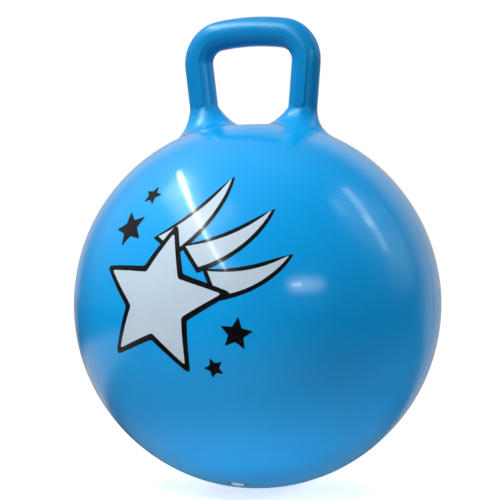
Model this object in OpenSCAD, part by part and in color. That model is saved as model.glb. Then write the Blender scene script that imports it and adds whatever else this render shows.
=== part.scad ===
// Hopper ball: an inflated ball with a moulded loop handle and a plugged air valve near its underside.
// It stands on the flat that its own weight presses. The origin is the middle of that flat,
// +Z is up, the handle's loop lies in the XZ plane and the front faces -Y.

/* [Ball] */
// Diameter of the inflated ball
ball_d = 450; // [350:5:600]
// Thickness of the ball's skin
ball_wall = 1.2; // [0.8:0.1:3]
// Diameter of the flat that the ball presses on the floor
patch_d = 64; // [30:1:110]
// Depth by which the crown between the legs lies below the full sphere
crown_drop = 5.8; // [3:0.1:12]
// Radius that blends the crown into the sphere
crown_blend_r = 78; // [50:1:100]

/* [Handle] */
// Height of the bar's middle line above the crown
bar_rise = 114.3; // [100:0.1:150]
// Width of the bar, measured in the plane of the loop
bar_w = 35.8; // [28:0.1:42]
// Depth of the bar, measured from front to back
bar_d = 30; // [22:0.5:34]
// Wall of the hollow bar
bar_wall = 3; // [2:0.1:5]
// Radius of the bar's upward bow, along its middle line
bow_r = 280; // [220:5:600]
// Radius of the loop's two upper corners, along the middle line
corner_r = 33.6; // [26:0.1:40]
// Distance between the legs' axes where they meet their roots
leg_spacing = 130.6; // [115:0.2:160]
// Angle by which each leg leans outward
leg_lean = 5.8; // [0:0.1:10]

/* [Handle roots] */
// Height above the crown at which a leg starts to flare
root_rise = 23.4; // [15:0.1:35]
// Reach of a root beyond its leg on the outer side of the loop
root_out = 19.7; // [12:0.1:30]
// Reach of a root beyond its leg on the inner side of the loop
root_in = 24.2; // [12:0.1:30]
// Reach of a root beyond its leg at the front and back
root_side = 21.2; // [12:0.1:30]
// Distance by which a root's foot is set toward the middle of the ball
root_shift = 1.6; // [0:0.1:4]
// Height of the thin edge round a root's foot, and of the lip where the leg leaves it
root_edge = 0.6; // [0.3:0.1:2]

/* [Grip strips] */
// Width of the raised strip on the front and back of each leg
strip_w = 13; // [8:0.5:18]
// Height of a strip's flat face above the front or back of the bar
strip_rise = 0.6; // [0.3:0.1:2]
// Height of a strip's round lower end above the root
strip_start = 1.5; // [0.5:0.5:10]
// Bare length of the bar between the strips' upper ends
strip_gap = 68; // [44:1:78]

/* [Valve] */
// Angle of the valve, forward of straight down
valve_tilt = 20; // [17:0.5:40]
// Inner diameter of the sunk cup
cup_d = 20.4; // [18:0.2:28]
// Depth of the cup below its rim
cup_depth = 2.2; // [1.6:0.1:6]
// Thickness of the cup's wall and floor
cup_wall = 1.8; // [1:0.1:3]
// Diameter of the flange inside the skin
flange_d = 52; // [40:1:80]
// Thickness of the flange
flange_t = 2; // [1:0.1:4]
// Outer diameter of the bored boss behind the cup
boss_d = 16; // [13:0.2:17]
// Length of the boss behind the cup's floor
boss_len = 15; // [10:0.5:25]
// Diameter of the bore that grips the plug
bore_d = 9.6; // [7:0.1:11]

/* [Plug] */
// Diameter of the plug's head
head_d = 15.6; // [13:0.1:17]
// Thickness of the head at its rim
head_t = 1.6; // [1:0.1:2.5]
// Height of the head's dome above its rim
dome_rise = 0.9; // [0.4:0.1:1.5]
// Length of the stem under the head
stem_len = 17; // [10:0.5:24]
// Number of gripping ribs on the stem
rib_count = 3; // [2:1:4]
// Depth of the grooves between the ribs
rib_depth = 0.6; // [0.2:0.1:1.2]

/* [Clearances] */
// Gap of the welded and bonded faces: roots on the skin, and seat in the skin
bond_gap = 0.3; // [0.2:0.05:0.5]
// Radial clearance of the plug's ribs in the bore
rib_clearance = 0.05; // [0.02:0.01:0.1]
// Gap between the plug's head and the floor of the cup
head_clearance = 0.1; // [0.05:0.05:0.3]

/* [Hidden] */

$fn = 120;
ball_colour = [0.10, 0.56, 0.88];
seat_colour = [0.16, 0.50, 0.70];
plug_colour = [0.88, 0.92, 0.95];

// Length by which every cut runs past the faces that it opens
overrun = 2;
// Turn of one straight step on the ball's outline, and on the grip strips'
arc_step = 2.6;
strip_step = 8;

// How far a root's flare is drawn in toward the corner between leg and ball, from 0 to 1
hollow_out_share = 0.66;
hollow_in_share = 0.23;
hollow_side_share = 0.45;
// Sides of the bar, and its steps round a corner and along the bow
bar_sides = 32;
corner_steps = 8;
bow_steps = 6;
// Sides of the bore, and its steps
bore_sides = 20;
bore_corner_steps = 5;
bore_bow_steps = 4;
// Steps up a root's flare, and rings across its underside
root_steps = 7;
foot_rings = 6;

// The ball's main places
ball_r = ball_d / 2;
ball_z = sqrt(pow(ball_r, 2) - pow(patch_d / 2, 2));
crown_z = ball_z + ball_r - crown_drop;
blend_z = crown_z - crown_blend_r;
crown_flat_r = sqrt(pow(ball_r - crown_blend_r, 2) - pow(blend_z - ball_z, 2));
blend_angle = atan2(blend_z - ball_z, crown_flat_r);
blend_end_r = ball_r * cos(blend_angle);

// The loop's middle line: leg, corner and bow meet in tangents
leg_x = leg_spacing / 2;
crease_z = crown_z + root_rise;
bow_z = crown_z + bar_rise - bow_r;
leg_along = [sin(leg_lean), cos(leg_lean)];
leg_out = [cos(leg_lean), -sin(leg_lean)];
corner_foot = [leg_x, crease_z] - corner_r * leg_out;
from_bow = corner_foot - [0, bow_z];
bow_rise = from_bow * leg_along;
leg_len = sqrt(pow(bow_rise, 2) - from_bow * from_bow + pow(bow_r - corner_r, 2)) - bow_rise;
corner_at = corner_foot + leg_len * leg_along;
bow_start = atan2(corner_at[1] - bow_z, corner_at[0]);
strip_end = 90 - asin(strip_gap / 2 / bow_r);
// Run of the hollow legs below the crease, through the root and the skin
bore_run = (crease_z - skin_z(leg_x + bar_w) + ball_wall) / cos(leg_lean) + overrun;

// The valve's heights, measured from the ball's centre along the valve's axis
cup_r = cup_d / 2;
cup_out_r = cup_r + cup_wall;
rim_h = sqrt(pow(ball_r, 2) - pow(cup_out_r, 2));
floor_h = rim_h - cup_depth;
floor_under_h = floor_h - cup_wall;
flange_out_r = ball_r - ball_wall - bond_gap;
bore_r = bore_d / 2;
rib_r = bore_r - rib_clearance;
groove_r = rib_r - rib_depth;
head_under_h = floor_h + head_clearance;
rib_pitch = stem_len / (rib_count + 1);

// Points on an arc, from one angle to another; an arc that runs on from another one skips its first point
function arc(centre, radius, from, to, step = arc_step, skip = 0) =
    let (steps = ceil(abs(to - from) / step))
    [for (i = [skip : steps]) let (a = from + (to - from) * i / steps) centre + radius * [cos(a), sin(a)]];

// Height of the ball's outer surface at a distance from its axis
function skin_z(r) =
    r <= crown_flat_r ? crown_z
    : r <= blend_end_r ? blend_z + sqrt(pow(crown_blend_r, 2) - pow(r - crown_flat_r, 2))
    : ball_z + sqrt(pow(ball_r, 2) - pow(r, 2));

// Half outline of the ball, drawn in by an inset: floor flat, sphere, blend and crown
function ball_outline(inset) =
    let (r = ball_r - inset, flat_r = sqrt(pow(r, 2) - pow(ball_z - inset, 2)))
    concat(
        [[0, inset]],
        arc([0, ball_z], r, atan2(inset - ball_z, flat_r), blend_angle),
        arc([crown_flat_r, blend_z], crown_blend_r - inset, blend_angle, 90, skip = 1),
        [[0, crown_z - inset]]
    );

// Reach of the bar's oval outline from its middle at an angle
function bar_reach(a, inset) =
    let (half_w = bar_w / 2 - inset, half_d = bar_d / 2 - inset)
    half_w * half_d / norm([half_d * cos(a), half_w * sin(a)]);

// One ring of the bar at a station of the loop: its place in X and Z, and the angle of its outer side
function bar_ring(station, sides, inset) = [
    for (i = [0 : sides - 1])
        let (a = 360 * i / sides, reach = bar_reach(a, inset), out = reach * cos(a))
        [station[0] + out * cos(station[2]), reach * sin(a), station[1] + out * sin(station[2])]
];

// Stations on a leg, on an arc, and on the other side of the loop
function leg_station(run) = [leg_x + run * leg_along[0], crease_z + run * leg_along[1], -leg_lean];
function arc_station(centre, radius, a) = [centre[0] + radius * cos(a), centre[1] + radius * sin(a), a];
function mirrored(station) = [-station[0], station[1], 180 - station[2]];

// Stations of the whole loop, from the first one on a leg over the bar to its mirror image
function loop_stations(first, corner_count, bow_count) =
    let (
        corner_step = (bow_start + leg_lean) / corner_count,
        corner = [for (i = [0 : corner_count]) arc_station(corner_at, corner_r, i * corner_step - leg_lean)],
        half = concat([first], corner),
        bow_step = (180 - 2 * bow_start) / bow_count,
        bow = [for (i = [1 : bow_count - 1]) arc_station([0, bow_z], bow_r, bow_start + i * bow_step)]
    )
    concat(half, bow, [for (i = [len(half) - 1 : -1 : 0]) mirrored(half[i])]);

// A value that blends from the outer or inner side of the loop to the front and back
function around(a, out, in, side) = (cos(a) > 0 ? out : in) * pow(cos(a), 2) + side * pow(sin(a), 2);

// A root's foot on the ball, drawn in toward its middle by a share
function foot_point(a, share) =
    let (
        reach = share * (bar_reach(a, 0) + around(a, root_out, root_in, root_side)),
        x = leg_x - root_shift + reach * cos(a),
        y = reach * sin(a)
    )
    [x, y, skin_z(norm([x, y])) + bond_gap];

// The flare from the foot's edge up to the lip: a curve drawn in toward the corner below the lip
function flare_point(a, high, t) =
    let (
        low = foot_point(a, 1) + [0, 0, root_edge],
        run = high[2] - skin_z(norm([high[0], high[1]])),
        corner = high - run * [leg_along[0], 0, leg_along[1]],
        middle = (low + high) / 2,
        pull = middle + (corner - middle) * around(a, hollow_out_share, hollow_in_share, hollow_side_share)
    )
    pow(1 - t, 2) * low + 2 * t * (1 - t) * pull + pow(t, 2) * high;

// Rings of one root, from the middle of its underside out to its edge and up to the lip round the leg
function root_rings() =
    let (
        lip = bar_ring(leg_station(0), bar_sides, -root_edge),
        sides = [0 : bar_sides - 1],
        angles = [for (i = sides) 360 * i / bar_sides]
    )
    concat(
        [for (k = [1 : foot_rings]) [for (a = angles) foot_point(a, k / foot_rings)]],
        [for (k = [0 : root_steps]) [for (i = sides) flare_point(angles[i], lip[i], k / root_steps)]]
    );

// Half outline of a grip strip on one leg: round lower end, corner and a short run on the bow
function strip_outline() =
    let (
        tip = [leg_x, crease_z] + (strip_start + strip_w / 2) * leg_along,
        bow_at = [0, bow_z],
        half = strip_w / 2
    )
    concat(
        arc(tip, half, -leg_lean - 180, -leg_lean, strip_step),
        arc(corner_at, corner_r + half, -leg_lean, bow_start, strip_step),
        arc(bow_at, bow_r + half, bow_start, strip_end, strip_step, skip = 1),
        arc(bow_at, bow_r - half, strip_end, bow_start, strip_step),
        arc(corner_at, corner_r - half, bow_start, -leg_lean, strip_step, skip = 1)
    );

// Both sides of the loop
module both_sides() {
    for (side = [0, 1]) mirror([side, 0, 0]) children();
}

// A closed skin through rings of equal count, which turn the same way round the line that they follow
module loft(rings) {
    sides = len(rings[0]);
    last = len(rings) - 1;
    polyhedron(
        [for (ring = rings) each ring],
        concat(
            [[for (i = [0 : sides - 1]) i], [for (i = [sides - 1 : -1 : 0]) last * sides + i]],
            [
                for (k = [0 : last - 1], i = [0 : sides - 1])
                    let (low = k * sides, high = low + sides, j = (i + 1) % sides)
                    each [[low + i, high + i, high + j], [low + i, high + j, low + j]]
            ]
        )
    );
}

// The loop's outer form: root, leg, corner, bow, corner, leg and root
module loop_body() {
    root = root_rings();
    loop = [for (at = loop_stations(leg_station(0), corner_steps, bow_steps)) bar_ring(at, bar_sides, 0)];
    far_root = [for (k = [len(root) - 1 : -1 : 0]) [for (p = root[k]) [-p[0], p[1], p[2]]]];
    loft(concat(root, loop, far_root));
}

// The hollow inside the loop, which runs down through both roots
module loop_bore() {
    stations = loop_stations(leg_station(-bore_run), bore_corner_steps, bore_bow_steps);
    loft([for (at = stations) bar_ring(at, bore_sides, bar_wall)]);
}

// The opening in the skin under one leg
module neck() {
    translate([leg_x, 0, crease_z]) rotate([0, leg_lean, 0]) translate([0, 0, -bore_run])
        linear_extrude(height = bore_run) polygon([
            for (i = [0 : bore_sides - 1])
                let (a = 360 * i / bore_sides)
                bar_reach(a, bar_wall) * [cos(a), sin(a)]
        ]);
}

// Stands a shape on the valve's axis, with its heights counted outward from the ball's centre
module at_valve() {
    translate([0, 0, ball_z]) rotate([180 - valve_tilt, 0, 0]) children();
}

// The hollow skin, open to the valve and to both legs of the handle
module ball_shell() {
    color(ball_colour) difference() {
        rotate_extrude() difference() {
            polygon(ball_outline(0));
            polygon(ball_outline(ball_wall));
        }
        both_sides() neck();
        at_valve() translate([0, 0, floor_under_h])
            cylinder(r = cup_out_r + bond_gap, h = cup_wall + cup_depth + overrun);
    }
}

// The hollow loop with its grip strips and its two flared roots
module handle() {
    color(ball_colour) difference() {
        union() {
            loop_body();
            both_sides() rotate([90, 0, 0]) linear_extrude(height = bar_d + 2 * strip_rise, center = true)
                polygon(strip_outline());
        }
        loop_bore();
    }
}

// The insert: flange inside the skin, sunk cup, and the bored boss that grips the plug
module valve_seat() {
    flange_from = acos(flange_d / 2 / flange_out_r);
    flange_to = acos(cup_out_r / flange_out_r);
    flange_in_r = flange_out_r - flange_t;
    color(seat_colour) at_valve() rotate_extrude() polygon(concat(
        [
            [bore_r, floor_under_h - boss_len],
            [boss_d / 2, floor_under_h - boss_len],
            [boss_d / 2, floor_under_h],
            [cup_out_r, floor_under_h]
        ],
        arc([0, 0], flange_in_r, acos(cup_out_r / flange_in_r), acos(flange_d / 2 / flange_in_r)),
        arc([0, 0], flange_out_r, flange_from, flange_to),
        [[cup_out_r, rim_h], [cup_r, rim_h], [cup_r, floor_h], [bore_r, floor_h]]
    ));
}

// The stopper: domed head in the cup, and a ribbed stem with a pointed end in the bore
module valve_plug() {
    dome_r = (pow(head_d / 2, 2) + pow(dome_rise, 2)) / (2 * dome_rise);
    dome_h = head_under_h + head_t + dome_rise - dome_r;
    color(plug_colour) at_valve() rotate_extrude() polygon(concat(
        [[0, head_under_h - stem_len], [groove_r / 2, head_under_h - stem_len]],
        [
            for (k = [rib_count : -1 : 1])
                each [
                    [groove_r, head_under_h - (k + 1 / 2) * rib_pitch],
                    [rib_r, head_under_h - k * rib_pitch],
                    [groove_r, head_under_h - k * rib_pitch]
                ]
        ],
        [[groove_r, head_under_h], [head_d / 2, head_under_h]],
        arc([0, dome_h], dome_r, acos(head_d / 2 / dome_r), 90)
    ));
}

ball_shell();
handle();
valve_seat();
valve_plug();
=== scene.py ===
import math

import bmesh
import bpy
import numpy as np
from mathutils import Matrix, Vector, noise


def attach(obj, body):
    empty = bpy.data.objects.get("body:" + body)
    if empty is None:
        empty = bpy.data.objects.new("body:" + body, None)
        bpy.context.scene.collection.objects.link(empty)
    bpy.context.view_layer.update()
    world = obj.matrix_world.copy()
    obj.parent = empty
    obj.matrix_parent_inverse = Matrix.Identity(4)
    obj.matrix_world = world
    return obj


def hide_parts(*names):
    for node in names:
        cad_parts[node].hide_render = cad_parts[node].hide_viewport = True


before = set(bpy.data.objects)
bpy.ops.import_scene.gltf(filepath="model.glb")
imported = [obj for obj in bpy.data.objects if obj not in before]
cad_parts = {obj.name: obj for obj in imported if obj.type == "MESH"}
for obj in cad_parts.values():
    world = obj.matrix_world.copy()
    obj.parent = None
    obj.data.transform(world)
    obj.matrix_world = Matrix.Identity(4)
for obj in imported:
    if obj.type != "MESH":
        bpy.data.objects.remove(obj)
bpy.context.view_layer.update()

# Sizes are in millimetres, as in the CAD model, and MM turns them into metres
MM = 0.001

# Ball
BALL_R = 225.0
WALL = 1.2
PATCH_R = 32.0
PATCH_SOFT = 2.0
CROWN_DROP = 5.8
CROWN_BLEND_R = 78.0
# Spacing of the skin's points: their count round the valve's axis, and degrees from row to row
BALL_SIDES = 240
BALL_STEP = 1.5
FINE_STEP = 0.4
FINE_END = 7.0
INNER_STEP = 6.0
# Faint unevenness of the blown skin: height, and bumps per ball radius
SWELL_RISE = 0.22
SWELL_RATE = 2.6
RIPPLE_RISE = 0.05
RIPPLE_RATE = 8.0
SWELL_FADE_Z = 25.0
# Step between the directions that give the slope of the skin
NORMAL_STEP = 0.004
# Mould line: distance aside of its middle, and height over the skin
MOULD_LINE = ((-1.0, -0.4), (-0.55, 0.06), (0.0, 0.16), (0.55, 0.06), (1.0, -0.4))

# Handle
BAR_RISE = 114.3
BAR_W = 35.8
BAR_D = 30.0
BOW_R = 280.0
CORNER_R = 33.6
LEG_SPACING = 130.6
LEG_LEAN = math.radians(5.8)
SEAM_RISE = 0.25
SEAM_W = 0.6
# Section points in degrees: on the seam, then the start, end and step of those on the round beside it
SEAM_ANGLES = (0, 1.3, 2.6, 4.0)
ROUND_ANGLES = (7, 50, 4)
# Spacing of the rings along the bar
LOOP_START = 1.2
LOOP_STEP = 2.2
LOOP_LEAST_STEP = 0.15

# Roots of the handle
ROOT_RISE = 23.4
ROOT_OUT = 19.7
ROOT_IN = 24.2
ROOT_SIDE = 21.2
ROOT_SHIFT = 1.6
HOLLOW_IN = 0.23
HOLLOW_SIDE = 0.45
RUN_OUT = 14.0
RUN_SINK = 0.3
CAP_SINK = 3.0
LEG_RUN = 10.0
RUN_ROWS = 10
FLARE_ROWS = 26
LEG_ROWS = 12
# Softness of the crease under each leg, and the shares of the flare at which it sets in and is full
CREASE_SOFT = 0.12
CREASE_START = 0.3
CREASE_FULL = 0.8
# Shares of the flare at which the ball's shading ends and the satin is full
RUN_BLEND = 0.3
SATIN_FULL = 0.7
# The two roots are not quite alike: where the flare starts on the leg, how hollow and how soft it is
LEFT_ROOT = {"start": 0.0, "hollow_out": 0.5, "passes": 34}
RIGHT_ROOT = {"start": -4.5, "hollow_out": 0.82, "passes": 18}

# Grip strips
STRIP_W = 13.0
STRIP_RISE = 0.6
STRIP_FLATNESS = 0.5
STRIP_FADE = 0.75
STRIP_START = 0.0
STRIP_GAP = 68.0
STRIP_EDGE = 0.45
# Section points beside a strip, across its soft edge and on its face
BESIDE_STRIP = 11.0
BESIDE_ROWS = 4
EDGE_SPAN = 1.5
EDGE_ROWS = 7
FACE_INSET = 1.5
FACE_ROWS = 5

# Valve and plug, with heights measured from the ball's centre along the valve's axis
VALVE_TILT = math.radians(20)
CUP_R = 10.2
CUP_WALL = 1.8
CUP_DEPTH = 2.2
FLANGE_R = 26.0
FLANGE_T = 2.0
BOSS_R = 8.0
BOSS_LEN = 15.0
BORE_R = 4.8
HEAD_R = 7.8
HEAD_T = 1.6
DOME_RISE = 1.3
DOME_ROWS = 9
STEM_LEN = 17.0
RIB_COUNT = 3
RIB_DEPTH = 0.6
RIB_CLEARANCE = 0.05
HEAD_CLEARANCE = 0.4
BOND_GAP = 0.3
HOLE_RIM = 0.9
HOLE_RIM_ROWS = 6
DISH_DEPTH = 0.8
DISH_R = 26.0
VALVE_SIDES = 96
# Radius of the hair-thin bore down the plug's middle, which closes its outline into a ring
CORE_R = 0.05
# Rounding of the edges of the seat and the plug, and the points on each rounding
SEAT_EDGE = 0.5
BOSS_EDGE = 0.8
FLANGE_EDGE = 0.6
NECK_EDGE = 0.4
RIM_EDGE = 0.8
CUP_CORNER = 1.2
BORE_EDGE = 0.4
TIP_EDGE = 0.6
GROOVE_EDGE = 0.3
RIB_EDGE = 0.25
RIB_FOOT_EDGE = 0.2
HEAD_FOOT_EDGE = 0.5
HEAD_RIM_EDGE = 0.7
CURVE_STEPS = 5

# Places that follow from the sizes
BALL_Z = math.sqrt(BALL_R**2 - PATCH_R**2)
CENTRE = np.array([0.0, 0.0, BALL_Z])
CROWN_H = BALL_R - CROWN_DROP
CROWN_Z = BALL_Z + CROWN_H
BLEND_H = CROWN_H - CROWN_BLEND_R
CROWN_FLAT_R = math.sqrt((BALL_R - CROWN_BLEND_R) ** 2 - BLEND_H**2)
BLEND_END = math.atan2(CROWN_FLAT_R, BLEND_H)
FLAT_END = math.atan2(CROWN_FLAT_R, CROWN_H)

LEG_X = LEG_SPACING / 2
CREASE_Z = CROWN_Z + ROOT_RISE
BOW_Z = CROWN_Z + BAR_RISE - BOW_R
LEG_ALONG = np.array([math.sin(LEG_LEAN), math.cos(LEG_LEAN)])
LEG_SIDE = np.array([math.cos(LEG_LEAN), -math.sin(LEG_LEAN)])
CORNER_FOOT = np.array([LEG_X, CREASE_Z]) - CORNER_R * LEG_SIDE
FROM_BOW = CORNER_FOOT - np.array([0.0, BOW_Z])
BOW_REACH = FROM_BOW @ LEG_ALONG
LEG_LEN = math.sqrt(BOW_REACH**2 - FROM_BOW @ FROM_BOW + (BOW_R - CORNER_R) ** 2) - BOW_REACH
CORNER_AT = CORNER_FOOT + LEG_LEN * LEG_ALONG
BOW_START = math.atan2(CORNER_AT[1] - BOW_Z, CORNER_AT[0])
CORNER_END = LEG_LEN + CORNER_R * (BOW_START + LEG_LEAN)
LOOP_MID = CORNER_END + BOW_R * (math.pi / 2 - BOW_START)
STRIP_END = LOOP_MID - BOW_R * math.asin(STRIP_GAP / 2 / BOW_R)
STRIP_EDGE_ROWS = STRIP_EDGE * np.linspace(-EDGE_SPAN, EDGE_SPAN, EDGE_ROWS)

VALVE_AXIS = np.array([0.0, -math.sin(VALVE_TILT), -math.cos(VALVE_TILT)])
VALVE_X = np.array([1.0, 0.0, 0.0])
VALVE_Y = np.cross(VALVE_AXIS, VALVE_X)
CUP_OUT_R = CUP_R + CUP_WALL
HOLE_R = CUP_OUT_R + BOND_GAP
RIM_H = math.sqrt(BALL_R**2 - CUP_OUT_R**2) - DISH_DEPTH
FLOOR_H = math.sqrt(BALL_R**2 - CUP_OUT_R**2) - CUP_DEPTH
FLOOR_UNDER_H = FLOOR_H - CUP_WALL
HEAD_UNDER_H = FLOOR_H + HEAD_CLEARANCE


# Small helpers on numbers
def smooth_min(a, b, soft):
    near = np.maximum(soft - np.abs(a - b), 0) / soft
    return np.minimum(a, b) - near**2 * soft / 4


def smooth_step(low, high, x):
    t = np.clip((x - low) / (high - low), 0, 1)
    return t * t * (3 - 2 * t)


def unit(v):
    return v / np.linalg.norm(v, axis=-1, keepdims=True)


# The ball's skin, as a point for every direction from the ball's centre
def skin_radius(d):
    up = d[:, 2]
    out = np.hypot(d[:, 0], d[:, 1])
    polar = np.arctan2(out, up)
    along = out * CROWN_FLAT_R + up * BLEND_H
    reach = along**2 - CROWN_FLAT_R**2 - BLEND_H**2 + CROWN_BLEND_R**2
    blend = along + np.sqrt(np.maximum(reach, 0))
    crown = CROWN_H / np.maximum(up, math.cos(BLEND_END))
    radius = np.where(polar < FLAT_END, crown, np.where(polar < BLEND_END, blend, BALL_R))
    floor = BALL_Z / np.maximum(-up, BALL_Z / (2 * BALL_R))
    return smooth_min(radius, floor, PATCH_SOFT)


def swell(d):
    swells = np.array([noise.noise(Vector(p * SWELL_RATE)) for p in d])
    ripples = np.array([noise.noise(Vector(p * RIPPLE_RATE)) for p in d])
    height = BALL_Z + BALL_R * d[:, 2]
    return (SWELL_RISE * swells + RIPPLE_RISE * ripples) * smooth_step(0, SWELL_FADE_Z, height)


def dish(d):
    off_axis = BALL_R * np.linalg.norm(np.cross(d, VALVE_AXIS), axis=1)
    near = (d @ VALVE_AXIS > 0) & (off_axis < DISH_R)
    share = np.clip((off_axis - HOLE_R) / (DISH_R - HOLE_R), 0, 1)
    return np.where(near, DISH_DEPTH * (1 + np.cos(math.pi * share)) / 2, 0)


def skin(d, raised=0.0):
    radius = skin_radius(d) + swell(d) - dish(d) + raised
    points = CENTRE + d * radius[:, None]
    points[:, 2] = np.maximum(points[:, 2], 0)
    return points


def crown_height(r):
    blend = BALL_Z + BLEND_H + np.sqrt(np.maximum(CROWN_BLEND_R**2 - (r - CROWN_FLAT_R) ** 2, 0))
    sphere = BALL_Z + np.sqrt(np.maximum(BALL_R**2 - r**2, 0))
    blend_end_r = BALL_R * math.sin(BLEND_END)
    return np.where(r <= CROWN_FLAT_R, CROWN_Z, np.where(r <= blend_end_r, blend, sphere))


def skin_below(x, y, raised=0.0):
    z = crown_height(np.hypot(x, y))
    return skin(unit(np.stack([x, y, z - BALL_Z], axis=1)), raised)


def skin_normal(points):
    d = unit(points - CENTRE)
    across = unit(np.cross(d, VALVE_X))
    along = np.cross(across, d)
    here = skin(d)
    first = skin(unit(d + NORMAL_STEP * across)) - here
    second = skin(unit(d + NORMAL_STEP * along)) - here
    return unit(np.cross(second, first))


# Meshes
def add_piece(name, mesh, material):
    mesh.materials.append(material)
    piece = bpy.data.objects.new(name, mesh)
    bpy.context.scene.collection.objects.link(piece)
    return piece


def make_object(name, verts, faces, material):
    mesh = bpy.data.meshes.new(name)
    mesh.from_pydata((np.asarray(verts) * MM).tolist(), [], faces)
    work = bmesh.new()
    work.from_mesh(mesh)
    bmesh.ops.recalc_face_normals(work, faces=work.faces)
    work.to_mesh(mesh)
    work.free()
    mesh.shade_smooth()
    return add_piece(name, mesh, material)


def ring_faces(ring_count, sides, wrap=False):
    faces = []
    for k in range(ring_count if wrap else ring_count - 1):
        low = k * sides
        high = ((k + 1) % ring_count) * sides
        for i in range(sides):
            j = (i + 1) % sides
            faces.append((low + i, low + j, high + j, high + i))
    return faces


def spokes(sides):
    """Directions all round the valve's axis."""
    turn = np.linspace(0, 2 * math.pi, sides, endpoint=False)[:, None]
    return np.cos(turn) * VALVE_X + np.sin(turn) * VALVE_Y


def revolve(name, profile, material):
    spoke = spokes(VALVE_SIDES)
    rings = [CENTRE + h * VALVE_AXIS + r * spoke for r, h in profile]
    faces = ring_faces(len(rings), VALVE_SIDES, wrap=True)
    return make_object(name, np.concatenate(rings), faces, material)


def rounded(corners):
    """A closed outline from corners of X, Y and a radius, at which a curve cuts each corner off."""
    points = [np.array(c[:2], float) for c in corners]
    outline = []
    for k, corner in enumerate(points):
        before = points[k - 1] - corner
        after = points[(k + 1) % len(points)] - corner
        room = min(corners[k][2], np.linalg.norm(before) / 2, np.linalg.norm(after) / 2)
        if room <= 0:
            outline.append(corner)
            continue
        start = corner + room * unit(before)
        end = corner + room * unit(after)
        for t in np.linspace(0, 1, CURVE_STEPS):
            outline.append((1 - t) ** 2 * start + 2 * t * (1 - t) * corner + t**2 * end)
    return outline


# Node helpers: a value is a number, a colour, a vector or another node's output
def feed(tree, socket, value):
    if isinstance(value, bpy.types.NodeSocket):
        tree.links.new(value, socket)
    else:
        socket.default_value = value


def calc(tree, operation, *values):
    node = tree.nodes.new("ShaderNodeMath")
    node.operation = operation
    for socket, value in zip(node.inputs, values):
        feed(tree, socket, value)
    return node.outputs["Value"]


def calc_vector(tree, operation, *values):
    node = tree.nodes.new("ShaderNodeVectorMath")
    node.operation = operation
    for socket, value in zip(node.inputs, values):
        feed(tree, socket, value)
    return node.outputs["Vector" if operation == "NORMALIZE" else "Value"]


def span(tree, value, start, end, low=0.0, high=1.0, soft=True):
    node = tree.nodes.new("ShaderNodeMapRange")
    node.interpolation_type = "SMOOTHSTEP" if soft else "LINEAR"
    given = {"Value": value, "From Min": start, "From Max": end, "To Min": low, "To Max": high}
    for name in given:
        feed(tree, node.inputs[name], given[name])
    return node.outputs["Result"]


def mix_colour(tree, factor, a, b, blend="MIX"):
    node = tree.nodes.new("ShaderNodeMix")
    node.data_type = "RGBA"
    node.blend_type = blend
    for name, given in (("Factor", factor), ("A", a), ("B", b)):
        feed(tree, node.inputs[name], given)
    return node.outputs["Result"]


def mix_shader(tree, factor, a, b):
    node = tree.nodes.new("ShaderNodeMixShader")
    for socket, given in zip(node.inputs, (factor, a, b)):
        tree.links.new(given, socket)
    return node.outputs["Shader"]


def grey(level):
    return (level, level, level, 1)


# Materials: each colour varies between a dark and a light
BLUES = ((0.001, 0.28, 0.66), (0.002, 0.30, 0.70))
TEALS = ((0.01, 0.19, 0.36), (0.02, 0.23, 0.42))
BLACKS = ((0.002, 0.002, 0.003), (0.005, 0.005, 0.006))
PALE_INKS = ((0.43, 0.53, 0.62), (0.44, 0.54, 0.63))
WHITES = ((0.68, 0.72, 0.74), (0.78, 0.82, 0.84))
FLOOR_GREYS = ((0.83, 0.83, 0.83), (0.86, 0.86, 0.86))
SHEEN = (0.45, 0.88, 1.0, 1)
# Share of the skin's colour that the thick wall of the handle keeps
DEEP_SHARE = 0.75

# Noise of the colour, roughness and grain: where on its range it starts and ends, and its fineness
NOISE_LOW = 0.3
NOISE_HIGH = 0.7
COLOUR_DETAIL = 3
ROUGH_DETAIL = 5
GRAIN_DETAIL = 2
# Each surface: patches of colour and roughness per metre, and the range of the roughness
# Its grain: bumps per metre, depth in millimetres and strength
VINYL_LOOK = {"colour_rate": 7, "rough_rate": 40, "rough": (0.3, 0.36), "grain": (450, 0.1, 0.05)}
INK_LOOK = {"colour_rate": 60, "rough_rate": 90, "rough": (0.24, 0.32), "grain": (700, 0.05, 0.05)}
PLUG_LOOK = {"colour_rate": 120, "rough_rate": 200, "rough": (0.3, 0.42), "grain": (900, 0.05, 0.08)}
FLOOR_RATE = 2

# The satin of the handle turns step by step into the gloss of the skin on the way down its roots
SKIN_FINISH = {"level": 0.4, "coat": 1.0, "blur": 0.1}
HANDLE_FINISH = {"level": 0.5, "coat": 0.55, "blur": 0.27}
INK_FINISH = {"level": 0.1, "coat": 0.6, "blur": 0.1}
PLUG_LEVEL = 0.5
FINISH_STEPS = 6


def new_material(name):
    material = bpy.data.materials.new(name)
    material.use_nodes = True
    shader = next(n for n in material.node_tree.nodes if n.type == "BSDF_PRINCIPLED")
    return material, shader


def noise_node(material, rate, detail):
    nodes = material.node_tree.nodes
    place = nodes.new("ShaderNodeTexCoord")
    texture = nodes.new("ShaderNodeTexNoise")
    texture.inputs["Scale"].default_value = rate
    texture.inputs["Detail"].default_value = detail
    material.node_tree.links.new(place.outputs["Object"], texture.inputs["Vector"])
    return texture.outputs["Fac"]


def vary_colour(material, shader, dark, light, rate):
    ramp = material.node_tree.nodes.new("ShaderNodeValToRGB")
    for element, place, colour in zip(ramp.color_ramp.elements, (NOISE_LOW, NOISE_HIGH), (dark, light)):
        element.position = place
        element.color = (*colour, 1)
    feed(material.node_tree, ramp.inputs["Fac"], noise_node(material, rate, COLOUR_DETAIL))
    feed(material.node_tree, shader.inputs["Base Color"], ramp.outputs["Color"])


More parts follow.
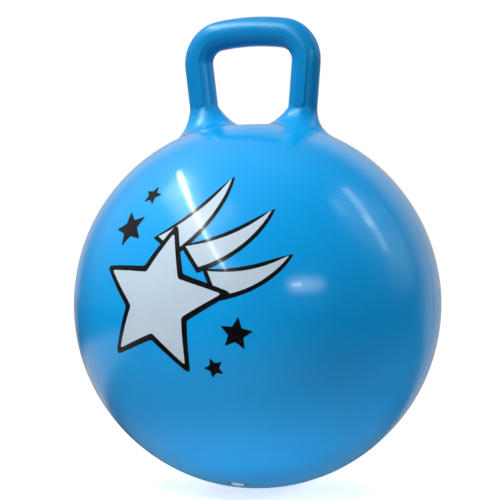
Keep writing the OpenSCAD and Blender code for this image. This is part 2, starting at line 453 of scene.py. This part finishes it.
def vary_roughness(material, shader, low, high, rate):
    tree = material.node_tree
    patches = noise_node(material, rate, ROUGH_DETAIL)
    rough = span(tree, patches, NOISE_LOW, NOISE_HIGH, low, high, soft=False)
    feed(tree, shader.inputs["Roughness"], rough)


def add_grain(material, shader, rate, depth, strength):
    bump = material.node_tree.nodes.new("ShaderNodeBump")
    bump.inputs["Strength"].default_value = strength
    bump.inputs["Distance"].default_value = depth * MM
    feed(material.node_tree, bump.inputs["Height"], noise_node(material, rate, GRAIN_DETAIL))
    feed(material.node_tree, shader.inputs["Normal"], bump.outputs["Normal"])


def textured(name, colours, look):
    material, shader = new_material(name)
    vary_colour(material, shader, *colours, look["colour_rate"])
    vary_roughness(material, shader, *look["rough"], look["rough_rate"])
    add_grain(material, shader, *look["grain"])
    return material, shader


def set_finish(shader, finish):
    shader.inputs["Specular IOR Level"].default_value = finish["level"]
    shader.inputs["Coat Weight"].default_value = finish["coat"]
    shader.inputs["Coat Roughness"].default_value = finish["blur"]


def vinyl(name, colours, finish):
    material, shader = textured(name, colours, VINYL_LOOK)
    set_finish(shader, finish)
    shader.inputs["Specular Tint"].default_value = SHEEN
    return material, shader


# The thick wall of the handle looks deeper in colour than the stretched skin that its roots turn into
def thick_vinyl(name, share):
    finish = {key: (1 - share) * SKIN_FINISH[key] + share * HANDLE_FINISH[key] for key in SKIN_FINISH}
    material, shader = vinyl(name, BLUES, finish)
    tree = material.node_tree
    split = tree.nodes.new("ShaderNodeSeparateXYZ")
    feed(tree, split.inputs["Vector"], tree.nodes.new("ShaderNodeTexCoord").outputs["Object"])
    depth = span(tree, split.outputs["Z"], CROWN_Z * MM, (CROWN_Z + ROOT_RISE) * MM)
    colour = shader.inputs["Base Color"].links[0].from_socket
    deep = mix_colour(tree, depth, colour, grey(DEEP_SHARE), "MULTIPLY")
    feed(tree, shader.inputs["Base Color"], deep)
    return material


def ink(name, colours):
    material, shader = textured(name, colours, INK_LOOK)
    set_finish(shader, INK_FINISH)
    return material


def hard_plastic(name, colours):
    material, shader = textured(name, colours, PLUG_LOOK)
    shader.inputs["Specular IOR Level"].default_value = PLUG_LEVEL
    return material


BALL_BLUE = vinyl("ball_blue", BLUES, SKIN_FINISH)[0]
HANDLE_BLUES = [thick_vinyl(f"handle_blue_{k}", k / FINISH_STEPS) for k in range(FINISH_STEPS + 1)]
SEAT_TEAL = vinyl("seat_teal", TEALS, HANDLE_FINISH)[0]
INK_BLACK = ink("ink_black", BLACKS)
INK_WHITE = ink("ink_white", PALE_INKS)
PLUG_WHITE = hard_plastic("plug_white", WHITES)


# The blown skin: rings about the valve's axis, from the inner face through the valve hole and out
def ball_skin():
    hole = math.asin(HOLE_R / BALL_R)
    inner = np.arange(180 - INNER_STEP, math.degrees(hole), -INNER_STEP)
    rows = [(math.radians(a), -WALL) for a in inner]
    rows += [(hole, -WALL), (hole, -(WALL + HOLE_RIM) / 2)]
    for turn in np.linspace(math.pi / 2, 0, HOLE_RIM_ROWS):
        off_axis = HOLE_R + HOLE_RIM * (1 - math.sin(turn))
        rows.append((math.asin(off_axis / BALL_R), -HOLE_RIM * (1 - math.cos(turn))))
    first = math.degrees(rows[-1][0]) + FINE_STEP
    rows += [(math.radians(a), 0.0) for a in np.arange(first, FINE_END, FINE_STEP)]
    rows += [(math.radians(a), 0.0) for a in np.arange(FINE_END, 180 - BALL_STEP / 2, BALL_STEP)]
    spoke = spokes(BALL_SIDES)
    rings = [skin(math.cos(a) * VALVE_AXIS + math.sin(a) * spoke, raised) for a, raised in rows]
    poles = [skin(-VALVE_AXIS[None, :], raised) for raised in (-WALL, 0.0)]
    faces = ring_faces(len(rings), BALL_SIDES)
    inner_pole = len(rings) * BALL_SIDES
    last = inner_pole - BALL_SIDES
    for i in range(BALL_SIDES):
        j = (i + 1) % BALL_SIDES
        faces.append((i, j, inner_pole))
        faces.append((last + i, last + j, inner_pole + 1))
    piece = make_object("ball_skin", np.concatenate(rings + poles), faces, BALL_BLUE)
    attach(piece, "ball")
    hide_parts("ball_shell")


# The faint line that the two mould halves leave round the ball, in the plane of the handle
def mould_line():
    turn = np.radians(np.arange(0, 360, BALL_STEP))
    lines = []
    for aside, raised in MOULD_LINE:
        d = np.stack([np.sin(turn), np.full_like(turn, aside / BALL_R), np.cos(turn)], axis=1)
        lines.append(skin(unit(d), raised))
    rings = np.stack(lines, axis=1)
    faces = ring_faces(len(turn), len(MOULD_LINE), wrap=True)
    piece = make_object("mould_line", rings.reshape(-1, 3), faces, BALL_BLUE)
    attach(piece, "ball")


# The handle's section: an oval with a fine mould seam on its outer and inner side
def section_angles():
    seam_side = np.radians(SEAM_ANGLES)
    round_side = np.radians(np.arange(*ROUND_ANGLES))
    half = STRIP_W / 2
    beside = np.linspace(BESIDE_STRIP, half + 2 * EDGE_SPAN * STRIP_EDGE, BESIDE_ROWS)
    face = np.linspace(half - FACE_INSET, 0, FACE_ROWS)
    places = np.concatenate([beside, half + STRIP_EDGE_ROWS[::-1], face])
    depths = BAR_D / 2 * np.sqrt(1 - (2 * places / BAR_W) ** 2)
    quarter = np.concatenate([seam_side, round_side, np.arctan2(depths, places)])
    back = quarter[::-1]
    return np.concatenate([quarter, math.pi - back[1:], math.pi + quarter[1:], 2 * math.pi - back[1:-1]])


def bar_reach(a):
    return BAR_W * BAR_D / 2 / np.hypot(BAR_D * np.cos(a), BAR_W * np.sin(a))


def seam(a):
    return SEAM_RISE * np.exp(-((BAR_W / 2 * np.sin(a) / SEAM_W) ** 2))


# A place on the loop's middle line, by its run from the crease: X, Z and the angle of its outer side
def station(run):
    if run < LEG_LEN:
        at = np.array([LEG_X, CREASE_Z]) + run * LEG_ALONG
        return at[0], at[1], -LEG_LEAN
    if run < CORNER_END:
        a = (run - LEG_LEN) / CORNER_R - LEG_LEAN
        return CORNER_AT[0] + CORNER_R * math.cos(a), CORNER_AT[1] + CORNER_R * math.sin(a), a
    a = BOW_START + (run - CORNER_END) / BOW_R
    return BOW_R * math.cos(a), BOW_Z + BOW_R * math.sin(a), a


# Lifts the front and back of a ring to the face of the grip strip
# The strip is flatter than the bar and fades on its way up
def with_strip(ring, run, angles, start):
    across = bar_reach(angles) * np.cos(angles)
    tip = start + STRIP_START + STRIP_W / 2
    beside = np.abs(across) - STRIP_W / 2
    below = np.hypot(run - tip, across) - STRIP_W / 2
    outside = np.maximum(below if run < tip else beside, run - STRIP_END)
    share = smooth_step(STRIP_EDGE, -STRIP_EDGE, outside)
    share *= 1 - STRIP_FADE * smooth_step(LEG_LEN / 2, STRIP_END, run)
    depth = np.abs(ring[:, 1])
    lift = share * np.maximum(STRIP_RISE + STRIP_FLATNESS * (BAR_D / 2 - depth), 0)
    return np.stack([ring[:, 0], np.sign(ring[:, 1]) * (depth + lift), ring[:, 2]], axis=1)


def bar_ring(run, angles):
    x, z, turn = station(run)
    reach = bar_reach(angles) + seam(angles)
    across = reach * np.cos(angles)
    deep = reach * np.sin(angles)
    return np.stack([x + across * math.cos(turn), deep, z + across * math.sin(turn)], axis=1)


def around(a, out, inward, side):
    return np.where(np.cos(a) > 0, out, inward) * np.cos(a) ** 2 + side * np.sin(a) ** 2


# One root, from its run-out on the ball up the flare and a short way up the leg, with soft turns between
def root_rings(angles, root):
    start = root["start"]
    foot_reach = bar_reach(angles) + around(angles, ROOT_OUT, ROOT_IN, ROOT_SIDE)

    def on_skin(reach, raised):
        return skin_below(LEG_X - ROOT_SHIFT + reach * np.cos(angles), reach * np.sin(angles), raised)

    rows = []
    weights = []
    for share in np.linspace(1, 0, RUN_ROWS, endpoint=False):
        rows.append(on_skin(foot_reach + RUN_OUT * share, -RUN_SINK * share))
        weights.append(1.0)
    low = on_skin(foot_reach, 0.0)
    high = bar_ring(start, angles)
    run = high[:, 2] - crown_height(np.hypot(high[:, 0], high[:, 1]))
    corner = high - run[:, None] * np.array([LEG_ALONG[0], 0, LEG_ALONG[1]])
    middle = (low + high) / 2
    hollow = around(angles, root["hollow_out"], HOLLOW_IN, HOLLOW_SIDE)[:, None]
    pull = middle + (corner - middle) * hollow
    for t in np.linspace(0, 1, FLARE_ROWS):
        rows.append((1 - t) ** 2 * low + 2 * t * (1 - t) * pull + t**2 * high)
        weights.append(1 + (CREASE_SOFT - 1) * smooth_step(CREASE_START, CREASE_FULL, t))
    leg_runs = np.linspace(start, LEG_RUN, LEG_ROWS + 1)[1:]
    for leg_run in leg_runs:
        rows.append(bar_ring(leg_run, angles))
        weights.append(CREASE_SOFT * (LEG_RUN - leg_run) / (LEG_RUN - start))
    rows = np.stack(rows)
    weights = np.array(weights)[1:-1, None, None]
    for _ in range(root["passes"]):
        rows[1:-1] += weights * ((rows[:-2] + rows[2:]) / 2 - rows[1:-1]) / 2
    for k, leg_run in enumerate(leg_runs):
        at = RUN_ROWS + FLARE_ROWS + k
        rows[at] = with_strip(rows[at], leg_run, angles, start)
    cap = on_skin(foot_reach + RUN_OUT, -CAP_SINK)
    return [cap, *rows]


def loop_runs():
    runs = [*np.arange(LEG_RUN + LOOP_START, LOOP_MID, LOOP_STEP), *(STRIP_END + STRIP_EDGE_ROWS)]
    spaced = [LEG_RUN]
    for run in sorted(runs):
        if run - spaced[-1] > LOOP_LEAST_STEP:
            spaced.append(run)
    return spaced[1:] + [LOOP_MID]


# Gives the edge of each root the shading of the ball under it, so that no line shows where they meet
def shade_run_out(piece, ring_count, sides):
    verts = np.empty(ring_count * sides * 3)
    piece.data.vertices.foreach_get("co", verts)
    verts = verts.reshape(-1, 3) / MM
    normals = np.empty(ring_count * sides * 3)
    piece.data.vertex_normals.foreach_get("vector", normals)
    normals = normals.reshape(-1, 3)
    ring = np.arange(ring_count)
    up_flare = (np.minimum(ring, ring[::-1]) - RUN_ROWS) / FLARE_ROWS
    share = np.repeat(1 - smooth_step(0, RUN_BLEND, up_flare), sides)[:, None]
    near = share[:, 0] > 0
    normals[near] = unit(share[near] * skin_normal(verts[near]) + (1 - share[near]) * normals[near])
    piece.data.normals_split_custom_set_from_vertices(normals.tolist())


# Gives each band of the handle its finish, from the gloss at the two ends to the satin of the bar
def grade_finish(piece, ring_count, sides):
    for blue in HANDLE_BLUES[1:]:
        piece.data.materials.append(blue)
    band = np.arange(ring_count - 1)
    up_flare = np.clip((np.minimum(band, band[::-1]) - RUN_ROWS / 2) / FLARE_ROWS, 0, 1)
    finish = np.rint(smooth_step(0, SATIN_FULL, up_flare) * FINISH_STEPS).astype(int)
    caps = [0, 0]
    piece.data.polygons.foreach_set("material_index", np.append(np.repeat(finish, sides), caps))


def handle_loop():
    angles = section_angles()
    bar = [with_strip(bar_ring(run, angles), run, angles, 0) for run in loop_runs()]
    right = root_rings(angles, RIGHT_ROOT) + bar
    left = root_rings(angles, LEFT_ROOT) + bar
    mirror = np.array([-1, 1, 1])
    rings = right + [ring * mirror for ring in left[-2::-1]]
    sides = len(angles)
    faces = ring_faces(len(rings), sides)
    faces.append(tuple(range(sides)))
    faces.append(tuple(range((len(rings) - 1) * sides, len(rings) * sides)))
    piece = make_object("handle_loop", np.concatenate(rings), faces, HANDLE_BLUES[0])
    grade_finish(piece, len(rings), sides)
    shade_run_out(piece, len(rings), sides)
    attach(piece, "ball")
    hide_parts("handle")


# The soft insert of the valve: bored boss, flange under the skin, and the sunk cup with a rounded rim
def valve_cup():
    flange_out = BALL_R - WALL - BOND_GAP - DISH_DEPTH
    flange_in = flange_out - FLANGE_T
    corners = [
        (BORE_R, FLOOR_UNDER_H - BOSS_LEN, SEAT_EDGE),
        (BOSS_R, FLOOR_UNDER_H - BOSS_LEN, BOSS_EDGE),
        (BOSS_R, FLOOR_UNDER_H, BOSS_EDGE),
        (CUP_OUT_R, FLOOR_UNDER_H, SEAT_EDGE),
        (CUP_OUT_R, math.sqrt(flange_in**2 - CUP_OUT_R**2), SEAT_EDGE),
        (FLANGE_R, math.sqrt(flange_in**2 - FLANGE_R**2) - DISH_DEPTH, FLANGE_EDGE),
        (FLANGE_R, math.sqrt(flange_out**2 - FLANGE_R**2) - DISH_DEPTH, FLANGE_EDGE),
        (CUP_OUT_R, math.sqrt(flange_out**2 - CUP_OUT_R**2), NECK_EDGE),
        (CUP_OUT_R, RIM_H, RIM_EDGE),
        (CUP_R, RIM_H, RIM_EDGE),
        (CUP_R, FLOOR_H, CUP_CORNER),
        (BORE_R, FLOOR_H, BORE_EDGE),
    ]
    piece = revolve("valve_cup", rounded(corners), SEAT_TEAL)
    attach(piece, "ball")
    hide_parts("valve_seat")


# The white stopper: domed head with a soft rim, and a ribbed stem with a blunt point
def valve_stopper():
    rib_r = BORE_R - RIB_CLEARANCE
    groove_r = rib_r - RIB_DEPTH
    pitch = STEM_LEN / (RIB_COUNT + 1)
    tip_h = HEAD_UNDER_H - STEM_LEN
    corners = [(CORE_R, tip_h, 0), (groove_r / 2, tip_h, TIP_EDGE)]
    for k in range(RIB_COUNT, 0, -1):
        corners.append((groove_r, HEAD_UNDER_H - (k + 0.5) * pitch, GROOVE_EDGE))
        corners.append((rib_r, HEAD_UNDER_H - k * pitch, RIB_EDGE))
        corners.append((groove_r, HEAD_UNDER_H - k * pitch, RIB_FOOT_EDGE))
    corners.append((groove_r, HEAD_UNDER_H, GROOVE_EDGE))
    corners.append((HEAD_R, HEAD_UNDER_H, HEAD_FOOT_EDGE))
    corners.append((HEAD_R, HEAD_UNDER_H + HEAD_T, HEAD_RIM_EDGE))
    dome_r = (HEAD_R**2 + DOME_RISE**2) / (2 * DOME_RISE)
    dome_h = HEAD_UNDER_H + HEAD_T + DOME_RISE - dome_r
    for r in np.linspace(HEAD_R, CORE_R, DOME_ROWS)[1:]:
        corners.append((r, dome_h + math.sqrt(dome_r**2 - r**2), 0))
    piece = revolve("valve_stopper", rounded(corners), PLUG_WHITE)
    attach(piece, "plug")
    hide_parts("valve_plug")


# The print: flat outlines in millimetres, X to the right and Y up, laid onto the front of the ball
PRINT_TILT = math.radians(15)
PRINT_OUT = np.array([0.0, -math.cos(PRINT_TILT), math.sin(PRINT_TILT)])
PRINT_X = np.array([1.0, 0.0, 0.0])
PRINT_Y = np.array([0.0, math.sin(PRINT_TILT), math.cos(PRINT_TILT)])
PRINT_GRID = 5.0
CUT_TOLERANCE = 1e-4
INK_RISE = 0.08
INK_SINK = 0.25
# Keeps a direction for a point in the very middle of the print
NUDGE = 1e-9


def on_ball(flat, raised):
    reach = np.hypot(flat[:, 0], flat[:, 1])
    aside = unit(flat[:, :1] * PRINT_X + flat[:, 1:] * PRINT_Y + NUDGE * PRINT_X)
    angle = (reach / BALL_R)[:, None]
    return skin(unit(np.cos(angle) * PRINT_OUT + np.sin(angle) * aside), raised)


def print_layer(name, outlines, level, material):
    """Thin layer of ink, cut along a grid so that it can follow the ball, and given a thickness."""
    work = bmesh.new()
    for outline in outlines:
        work.faces.new([work.verts.new((x, y, 0)) for x, y in outline])
    reach = int(BALL_R / PRINT_GRID)
    for k in range(-reach, reach + 1):
        for normal in ((1, 0, 0), (0, 1, 0)):
            at = Vector(normal) * (k + 0.5) * PRINT_GRID
            everything = work.verts[:] + work.edges[:] + work.faces[:]
            bmesh.ops.bisect_plane(work, geom=everything, plane_co=at, plane_no=normal, dist=CUT_TOLERANCE)
    bmesh.ops.triangulate(work, faces=[f for f in work.faces if len(f.verts) > 4])
    rim = [e for e in work.edges if e.is_boundary]
    top_verts = work.verts[:]
    top_faces = work.faces[:]
    grown = bmesh.ops.extrude_face_region(work, geom=top_faces, use_keep_orig=True)
    low_verts = [v for v in grown["geom"] if isinstance(v, bmesh.types.BMVert)]
    for verts, raised in ((top_verts, INK_RISE * level), (low_verts, -INK_SINK)):
        flat = np.array([v.co[:2] for v in verts])
        for v, p in zip(verts, on_ball(flat, raised)):
            v.co = Vector(p * MM)
    bmesh.ops.recalc_face_normals(work, faces=work.faces)
    for face in work.faces:
        face.smooth = True
    for edge in rim:
        edge.smooth = False
    mesh = bpy.data.meshes.new(name)
    work.to_mesh(mesh)
    work.free()
    piece = add_piece(name, mesh, material)
    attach(piece, "ball")


STAR_POINTS = 5
STAR_WAIST_SHARE = 0.46
STAR_TIP = 5.0
STAR_WAIST = 3.0
LINE_W = 5.0
# How much further than its star the black edge reaches, in line widths, and how much wider its waist is
EDGE_REACH_SHARE = 2.6
EDGE_WAIST_SHARE = 0.02
# Stars: middle, reach and tilt in degrees
BIG_STAR = ((-34, -40), 80, -12)
SMALL_STARS = (
    ((-84, 50), 24, 14),
    ((-62, 92), 14, -20),
    ((62, -76), 20, -8),
    ((34, -116), 13, 20),
)
# Tails: start, end and bow, with the powers of their taper and of the turn of their grown edge at the point
TAILS = (
    ((-26, 26), (38, 112), -12),
    ((8, 10), (92, 72), -12),
    ((34, -20), (118, 18), -10),
)
TAIL_W = 30.0
TAIL_ROWS = 28
TAIL_TAPER = 0.8
TAIL_POINT = 6


def star(at, reach, tilt, round_tip, round_waist, waist_share=STAR_WAIST_SHARE):
    corners = []
    for k in range(2 * STAR_POINTS):
        a = math.radians(tilt + 90 + 180 / STAR_POINTS * k)
        is_tip = k % 2 == 0
        r = reach if is_tip else reach * waist_share
        rounding = round_tip if is_tip else round_waist
        corners.append((at[0] + r * math.cos(a), at[1] + r * math.sin(a), rounding))
    return rounded(corners)


def tail(start, end, bow, grow=0.0):
    """A bowed stripe that tapers from its full width at the start to a point, grown on all sides."""
    start, end = np.array(start, float), np.array(end, float)
    along = unit(end - start)
    aside = np.array([-along[1], along[0]])
    length = np.linalg.norm(end - start)
    upper, lower = [], []
    for t in np.linspace(0, 1, TAIL_ROWS):
        middle = start + (length * t + grow * (2 * t - 1)) * along + 4 * bow * t * (1 - t) * aside
        half = TAIL_W / 2 * (1 - t) ** TAIL_TAPER + grow * (1 - t**TAIL_POINT)
        upper.append(middle + half * aside)
        lower.append(middle - half * aside)
    return upper + lower[-2::-1]


def ball_print():
    at, reach, tilt = BIG_STAR
    edge_reach = reach + EDGE_REACH_SHARE * LINE_W
    edge_waist = STAR_WAIST_SHARE + EDGE_WAIST_SHARE
    edge = star(at, edge_reach, tilt, STAR_TIP * 2, STAR_WAIST, edge_waist)
    print_layer("print_star_edge", [edge], 3, INK_BLACK)
    print_layer("print_star", [star(*BIG_STAR, STAR_TIP, STAR_WAIST)], 4, INK_WHITE)
    print_layer("print_tails_edge", [tail(*spec, grow=LINE_W) for spec in TAILS], 1, INK_BLACK)
    print_layer("print_tails", [tail(*spec) for spec in TAILS], 2, INK_WHITE)
    small = [star(*spec, STAR_TIP / 2, STAR_WAIST / 2) for spec in SMALL_STARS]
    print_layer("print_small_stars", small, 1, INK_BLACK)


# Directions seen from the ball's centre, in degrees: azimuth from the front toward +X, then elevation
def way(azimuth, elevation):
    a, e = math.radians(azimuth), math.radians(elevation)
    level = math.cos(e)
    return Vector((math.sin(a) * level, -math.cos(a) * level, math.sin(e)))


# Camera at the photograph's viewing angle
CAMERA_AZIMUTH = 22
CAMERA_ELEVATION = 2
CAMERA_ROLL = math.radians(-1.29)
CAMERA_DISTANCE = 2200.0
CAMERA_ASIDE = -9.25
CAMERA_RAISED = 66.27
CAMERA_LENS = 128.79
CAMERA_SENSOR = 36


def add_camera():
    back = way(CAMERA_AZIMUTH, CAMERA_ELEVATION)
    right = way(CAMERA_AZIMUTH + 90, 0)
    up = back.cross(right)
    turned_right = right * math.cos(CAMERA_ROLL) + up * math.sin(CAMERA_ROLL)
    turned_up = up * math.cos(CAMERA_ROLL) - right * math.sin(CAMERA_ROLL)
    target = Vector(CENTRE) + turned_right * CAMERA_ASIDE + turned_up * CAMERA_RAISED
    eye = (target + back * CAMERA_DISTANCE) * MM
    data = bpy.data.cameras.new("camera")
    data.sensor_width = CAMERA_SENSOR
    data.lens = CAMERA_LENS
    camera = bpy.data.objects.new("camera", data)
    turn = Matrix((turned_right, turned_up, back)).transposed().to_4x4()
    camera.matrix_world = Matrix.Translation(eye) @ turn
    bpy.context.scene.collection.objects.link(camera)
    bpy.context.scene.camera = camera


# Lights, in metres and watts
BALL_MIDDLE = Vector(CENTRE * MM)
LAMP_DISTANCE = 2.4
# Soft lamps, hidden from gloss rays: azimuth, elevation, width, spread in degrees, power and target
SOFT_LAMPS = {
    "overhead": (-12, 55, 0.7, 50, 5.1, Vector((0, -0.15, 0.1))),
    "right": (126, 16, 0.8, 40, 2.1, BALL_MIDDLE),
    "left": (-108, 20, 0.8, 40, 1.7, BALL_MIDDLE),
    "behind": (185, 28, 0.8, 40, 1.5, BALL_MIDDLE),
}
# The ceiling's line from end to end: azimuth, elevation and distance
CEILING_START = (-100, 56, 2.0)
CEILING_END = (3, 22, 4.0)
# Its tubes: start and end as shares of the line, width and brightness
CEILING = (
    (0.0, 1.0, 0.06, 15.0),
    (0.04, 0.9, 0.08, 16.0),
)
# Each strip of the window: its two ends as azimuth and elevation, its width and its brightness
WINDOW_STRIPS = (
    ((125, 51), (113.6, 33), 0.24, 1.9),
    ((114.6, 38), (113.5, 21), 0.22, 1.6),
    ((104, 53), (99, 44), 0.28, 0.7),
    ((140, 38), (130, 14), 0.16, 0.3),
)
# The front spot: azimuth, elevation and distance, then size and power
SPOT_AT = (45, 13.5, 2.6)
SPOT_SIZE = (0.3, 0.06)
SPOT_POWER = 0.6


def light_place(azimuth, elevation, distance=LAMP_DISTANCE):
    return BALL_MIDDLE + distance * way(azimuth, elevation)


def add_lamp(name, pose, size, power):
    data = bpy.data.lights.new(name, "AREA")
    data.shape = "RECTANGLE"
    data.size, data.size_y = size
    data.energy = power
    light = bpy.data.objects.new(name, data)
    light.matrix_world = pose
    bpy.context.scene.collection.objects.link(light)
    return light


def aimed(place, target):
    return Matrix.Translation(place) @ (target - place).to_track_quat("-Z", "Y").to_matrix().to_4x4()


def add_soft(name, azimuth, elevation, width, spread, power, target):
    pose = aimed(light_place(azimuth, elevation), target)
    light = add_lamp(name, pose, (width, width), power)
    light.data.spread = math.radians(spread)
    light.visible_glossy = False


def add_tube(name, start, end, width, brightness):
    """A long lamp between two points, which shines at the ball."""
    middle = (start + end) / 2
    along = (end - start).normalized()
    away = middle - BALL_MIDDLE
    away = (away - along * away.dot(along)).normalized()
    turn = Matrix((along, away.cross(along), away)).transposed().to_4x4()
    length = (end - start).length
    add_lamp(name, Matrix.Translation(middle) @ turn, (length, width), brightness * math.pi * length * width)


def add_lights():
    for name, settings in SOFT_LAMPS.items():
        add_soft(name, *settings)
    near, far = light_place(*CEILING_START), light_place(*CEILING_END)
    for start, end, width, brightness in CEILING:
        add_tube("ceiling", near.lerp(far, start), near.lerp(far, end), width, brightness)
    for start, end, width, brightness in WINDOW_STRIPS:
        add_tube("window", light_place(*start), light_place(*end), width, brightness)
    add_lamp("front_spot", aimed(light_place(*SPOT_AT), BALL_MIDDLE), SPOT_SIZE, SPOT_POWER)


# World: the even fill, and for gloss the dim room and the pale backdrop
# The backdrop lies one way: how near to that way it starts and is full
FILL = 0.08
GLOSS_FRONT = 0.05
GLOSS_BACK = 0.48
BACKDROP_WAY = (-0.17, 0.985, 0.0)
BACKDROP_START = 0.62
BACKDROP_FULL = 0.85
# Soft glows of the room that only gloss shows: azimuth, elevation, radius in degrees and brightness
GLOWS = (
    (-85, 58, 66, 0.38),
    (-84, 55, 10, 2.2),
    (-66, 56, 11, 1.5),
    (-50, 54, 11, 1.5),
    (-36, 50, 11, 1.5),
    (-24, 46, 11, 1.5),
    (-8, 33, 10, 1.3),
    (2, 23, 9, 1.0),
    (45, 13.5, 7, 2.4),
    (51, 13.5, 7, 2.4),
    (57, 13.5, 7, 2.1),
    (62, 13.5, 6, 1.1),
    (117, 38, 22, 0.5),
)


def background(tree, strength):
    node = tree.nodes.new("ShaderNodeBackground")
    node.inputs["Color"].default_value = grey(1)
    feed(tree, node.inputs["Strength"], strength)
    return node.outputs["Background"]


# White to the camera, an even fill for light, and for gloss a room with a pale backdrop and soft glows
def add_world():
    world = bpy.data.worlds.new("studio")
    world.use_nodes = True
    bpy.context.scene.world = world
    tree = world.node_tree
    tree.nodes.clear()
    path = tree.nodes.new("ShaderNodeLightPath").outputs
    mirrored = calc(tree, "MAXIMUM", path["Is Glossy Ray"], path["Is Transmission Ray"])
    place = tree.nodes.new("ShaderNodeTexCoord").outputs["Generated"]
    facing = calc_vector(tree, "DOT_PRODUCT", place, BACKDROP_WAY)
    studio = span(tree, facing, BACKDROP_START, BACKDROP_FULL, GLOSS_FRONT, GLOSS_BACK)
    for azimuth, elevation, radius, brightness in GLOWS:
        nearness = calc_vector(tree, "DOT_PRODUCT", place, way(azimuth, elevation))
        edge = math.cos(math.radians(radius))
        studio = calc(tree, "ADD", studio, span(tree, nearness, edge, 1.0, 0.0, brightness))
    lit = mix_shader(tree, mirrored, background(tree, FILL), background(tree, studio))
    seen = mix_shader(tree, path["Is Camera Ray"], lit, background(tree, 1.0))
    out = tree.nodes.new("ShaderNodeOutputWorld")
    tree.links.new(seen, out.inputs["Surface"])


# Floor, in metres: its glow to the camera near the object, and the painted shade that darkens its colour far
# off and in gloss
FLOOR_HALF = 6.0
FLOOR_GAP = 0.0003
FLOOR_ROUGH = 0.9
FLOOR_LEVEL = 0.1
FLOOR_GLOW = 0.66
PAINTED_FLOOR_SHADE_FAR = 0.25
PAINTED_FLOOR_SHADE_IN_GLOSS = 0.03
NEAR_FLOOR = 0.4
FAR_FLOOR = 1.0
# Its pale side in gloss: the way it lies, where along that way it starts, is full, fades and ends
FLOOR_GLOSS = 0.45
FLOOR_WAY = (-0.95, 0.3, 0.0)
FLOOR_WAY_START = 0.32
FLOOR_WAY_FULL = 0.5
FLOOR_WAY_FADE = 0.8
FLOOR_WAY_END = 1.3
# The sweep behind the object in gloss: the way it lies, how near to that it starts and is full, its glow
SWEEP_WAY = (-0.1, 0.995, 0.0)
SWEEP_START = 0.58
SWEEP_FULL = 0.82
SWEEP_GLOSS = 0.38
# Painted glow: the table where the ball stands glows, unseen by the camera, to light the ball from below,
# and gloss shows it with a painted tint of the ball's blue
TABLE_FULL = 0.06
TABLE_END = 0.32
PAINTED_TABLE_GLOW = 0.52
TABLE_GLOSS = 0.3
PAINTED_TABLE_TINT = (0.3, 0.75, 1.0, 1)


# What gloss shows of the floor: a pale side, the sweep behind the object and the painted glow of the table
# under it
def floor_in_gloss(tree, place, painted_glow_patch):
    aside = calc_vector(tree, "DOT_PRODUCT", place, FLOOR_WAY)
    pale_side = span(tree, aside, FLOOR_WAY_START, FLOOR_WAY_FULL, 0.0, FLOOR_GLOSS)
    fading = span(tree, aside, FLOOR_WAY_FADE, FLOOR_WAY_END, 1.0, 0.0)
    pale_side = calc(tree, "MULTIPLY", pale_side, fading)
    behind = calc_vector(tree, "DOT_PRODUCT", calc_vector(tree, "NORMALIZE", place), SWEEP_WAY)
    sweep = span(tree, behind, SWEEP_START, SWEEP_FULL, 0.0, SWEEP_GLOSS)
    brightest = calc(tree, "MAXIMUM", pale_side, sweep)
    return calc(tree, "MAXIMUM", brightest, calc(tree, "MULTIPLY", painted_glow_patch, TABLE_GLOSS))


def floor_white():
    material, shader = new_material("floor_white")
    material.cycles.emission_sampling = "NONE"
    vary_colour(material, shader, *FLOOR_GREYS, FLOOR_RATE)
    shader.inputs["Roughness"].default_value = FLOOR_ROUGH
    shader.inputs["Specular IOR Level"].default_value = FLOOR_LEVEL
    tree = material.node_tree
    path = tree.nodes.new("ShaderNodeLightPath").outputs
    place = tree.nodes.new("ShaderNodeNewGeometry").outputs["Position"]
    distance = calc_vector(tree, "LENGTH", place)
    away = span(tree, distance, NEAR_FLOOR, FAR_FLOOR)
    # Painted shade: the floor's colour darkens away from the object, as if only the floor near it were lit
    painted_far_shade = mix_colour(tree, away, shader.inputs["Base Color"].links[0].from_socket, grey(PAINTED_FLOOR_SHADE_FAR))
    # Painted shade: gloss rays see the floor's colour nearly black
    mirrored = mix_colour(tree, path["Is Glossy Ray"], painted_far_shade, grey(PAINTED_FLOOR_SHADE_IN_GLOSS))
    feed(tree, shader.inputs["Base Color"], mirrored)
    # Painted glow: a patch of the floor under the ball that glows though no lamp is there
    painted_glow_patch = span(tree, distance, TABLE_FULL, TABLE_END, 1.0, 0.0)
    in_gloss = floor_in_gloss(tree, place, painted_glow_patch)
    under_glow_painted = calc(tree, "MULTIPLY", painted_glow_patch, PAINTED_TABLE_GLOW)
    in_view = span(tree, away, 0.0, 1.0, FLOOR_GLOW, 1.0, soft=False)
    glow = calc(tree, "MULTIPLY", path["Is Camera Ray"], in_view)
    glow = calc(tree, "MULTIPLY_ADD", path["Is Glossy Ray"], in_gloss, glow)
    glow = calc(tree, "MULTIPLY_ADD", path["Is Diffuse Ray"], under_glow_painted, glow)
    # Painted tint: gloss sees the glowing patch tinted blue like the ball
    painted_tint_share = calc(tree, "MULTIPLY", path["Is Glossy Ray"], painted_glow_patch)
    feed(tree, shader.inputs["Emission Color"], mix_colour(tree, painted_tint_share, grey(1), PAINTED_TABLE_TINT))
    feed(tree, shader.inputs["Emission Strength"], glow)
    return material


def add_floor():
    mesh = bpy.data.meshes.new("floor")
    signs = ((-1, -1), (1, -1), (1, 1), (-1, 1))
    corners = [(x * FLOOR_HALF, y * FLOOR_HALF, -FLOOR_GAP) for x, y in signs]
    mesh.from_pydata(corners, [], [(0, 1, 2, 3)])
    floor = add_piece("floor", mesh, floor_white())


ball_skin()
mould_line()
handle_loop()
valve_cup()
valve_stopper()
ball_print()
add_camera()
add_lights()
add_world()
add_floor()
bpy.context.scene.view_settings.view_transform = "Standard"
